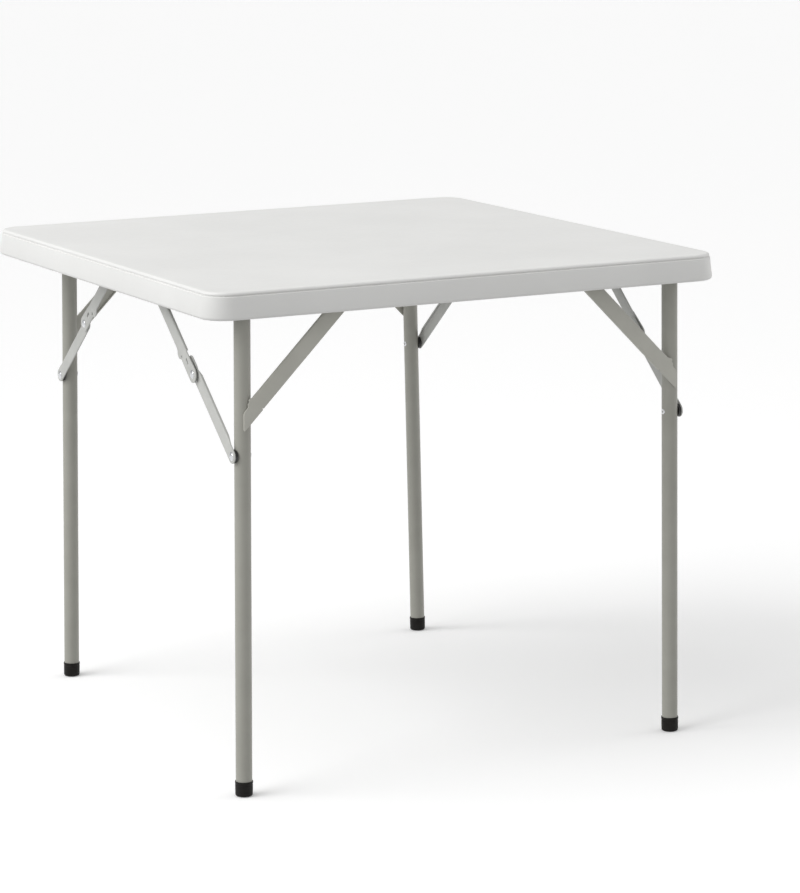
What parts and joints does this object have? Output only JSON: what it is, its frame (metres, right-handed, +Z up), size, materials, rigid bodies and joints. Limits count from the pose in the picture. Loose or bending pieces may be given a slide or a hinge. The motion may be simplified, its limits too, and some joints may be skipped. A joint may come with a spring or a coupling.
{
  "type": "folding table",
  "caption": "Square folding table: moulded plastic top on two steel leg frames that fold flat under it, held open by two-link side braces.",
  "frame": {"origin": "on the floor, under the middle of the top", "axes": "+Z up, +Y from the front leg frame to the rear leg frame, +X to the right"},
  "size_m": [0.84, 0.84, 0.74],
  "materials": {
    "moulded_plastic": "off-white blow-moulded polyethylene with a fine satin grain",
    "frame_paint": "light warm grey powder coat, satin",
    "link_paint": "lighter grey powder coat on pressed sheet, satin",
    "zinc": "bright zinc plate",
    "black_plastic": "black moulded plastic, satin"
  },
  "bodies": {
    "top": {"tabletop": "moulded_plastic", "left_rail": "frame_paint", "right_rail": "frame_paint", "rail_screws": "zinc", "brace_pivot_pins": "zinc"},
    "front_frame": {"front_axle": "frame_paint", "front_axle_plugs": "black_plastic", "front_left_leg": "frame_paint", "front_right_leg": "frame_paint", "front_leg_caps": "black_plastic", "front_left_corner_brace": "frame_paint", "front_right_corner_brace": "frame_paint", "front_gussets": "frame_paint", "front_left_foot": "black_plastic", "front_right_foot": "black_plastic", "front_leg_rivets": "zinc", "front_leg_washers": "black_plastic"},
    "rear_frame": {"rear_axle": "frame_paint", "rear_axle_plugs": "black_plastic", "rear_left_leg": "frame_paint", "rear_right_leg": "frame_paint", "rear_leg_caps": "black_plastic", "rear_left_corner_brace": "frame_paint", "rear_right_corner_brace": "frame_paint", "rear_gussets": "frame_paint", "rear_left_foot": "black_plastic", "rear_right_foot": "black_plastic", "rear_leg_rivets": "zinc", "rear_leg_washers": "black_plastic"},
    "front_left_upper": {"front_left_upper_link": "link_paint", "front_left_knee_rivet": "zinc"},
    "front_left_lower": {"front_left_lower_link": "link_paint", "front_left_link_rivet": "zinc"},
    "front_right_upper": {"front_right_upper_link": "link_paint", "front_right_knee_rivet": "zinc"},
    "front_right_lower": {"front_right_lower_link": "link_paint", "front_right_link_rivet": "zinc"},
    "rear_left_upper": {"rear_left_upper_link": "link_paint", "rear_left_knee_rivet": "zinc"},
    "rear_left_lower": {"rear_left_lower_link": "link_paint", "rear_left_link_rivet": "zinc"},
    "rear_right_upper": {"rear_right_upper_link": "link_paint", "rear_right_knee_rivet": "zinc"},
    "rear_right_lower": {"rear_right_lower_link": "link_paint", "rear_right_link_rivet": "zinc"}
  },
  "joints": [
    {"name": "front_fold", "type": "hinge", "parent": "top", "child": "front_frame", "pos_m": [0, -0.351, 0.71], "axis": [1, 0, 0], "range_deg": [0, 90]},
    {"name": "front_left_upper_pivot", "type": "hinge", "parent": "top", "child": "front_left_upper", "pos_m": [-0.3766, -0.131, 0.706], "axis": [-1, 0, 0], "range_deg": [0, 39.07]},
    {"name": "front_left_knee", "type": "hinge", "parent": "front_left_upper", "child": "front_left_lower", "pos_m": [-0.3766, -0.25781, 0.60024], "axis": [1, 0, 0], "range_deg": [0, 171.61]},
    {"name": "front_right_upper_pivot", "type": "hinge", "parent": "top", "child": "front_right_upper", "pos_m": [0.3766, -0.131, 0.706], "axis": [-1, 0, 0], "range_deg": [0, 39.07]},
    {"name": "front_right_knee", "type": "hinge", "parent": "front_right_upper", "child": "front_right_lower", "pos_m": [0.3766, -0.25781, 0.60024], "axis": [1, 0, 0], "range_deg": [0, 171.61]},
    {"name": "rear_fold", "type": "hinge", "parent": "top", "child": "rear_frame", "pos_m": [0, 0.351, 0.71], "axis": [-1, 0, 0], "range_deg": [0, 90]},
    {"name": "rear_left_upper_pivot", "type": "hinge", "parent": "top", "child": "rear_left_upper", "pos_m": [-0.3319, 0.131, 0.706], "axis": [1, 0, 0], "range_deg": [0, 38.49]},
    {"name": "rear_left_knee", "type": "hinge", "parent": "rear_left_upper", "child": "rear_left_lower", "pos_m": [-0.3319, 0.25656, 0.59999], "axis": [-1, 0, 0], "range_deg": [0, 172.71]},
    {"name": "rear_right_upper_pivot", "type": "hinge", "parent": "top", "child": "rear_right_upper", "pos_m": [0.3319, 0.131, 0.706], "axis": [1, 0, 0], "range_deg": [0, 38.49]},
    {"name": "rear_right_knee", "type": "hinge", "parent": "rear_right_upper", "child": "rear_right_lower", "pos_m": [0.3319, 0.25656, 0.59999], "axis": [-1, 0, 0], "range_deg": [0, 172.71]}
  ],
  "couplings": [
    {"joint": "front_left_upper_pivot", "follows": "front_fold", "ratio": 0.43399},
    {"joint": "front_left_knee", "follows": "front_fold", "ratio": 1.9067},
    {"joint": "front_right_upper_pivot", "follows": "front_fold", "ratio": 0.43399},
    {"joint": "front_right_knee", "follows": "front_fold", "ratio": 1.9067},
    {"joint": "rear_left_upper_pivot", "follows": "rear_fold", "ratio": 0.42754},
    {"joint": "rear_left_knee", "follows": "rear_fold", "ratio": 1.9189},
    {"joint": "rear_right_upper_pivot", "follows": "rear_fold", "ratio": 0.42754},
    {"joint": "rear_right_knee", "follows": "rear_fold", "ratio": 1.9189}
  ]
}
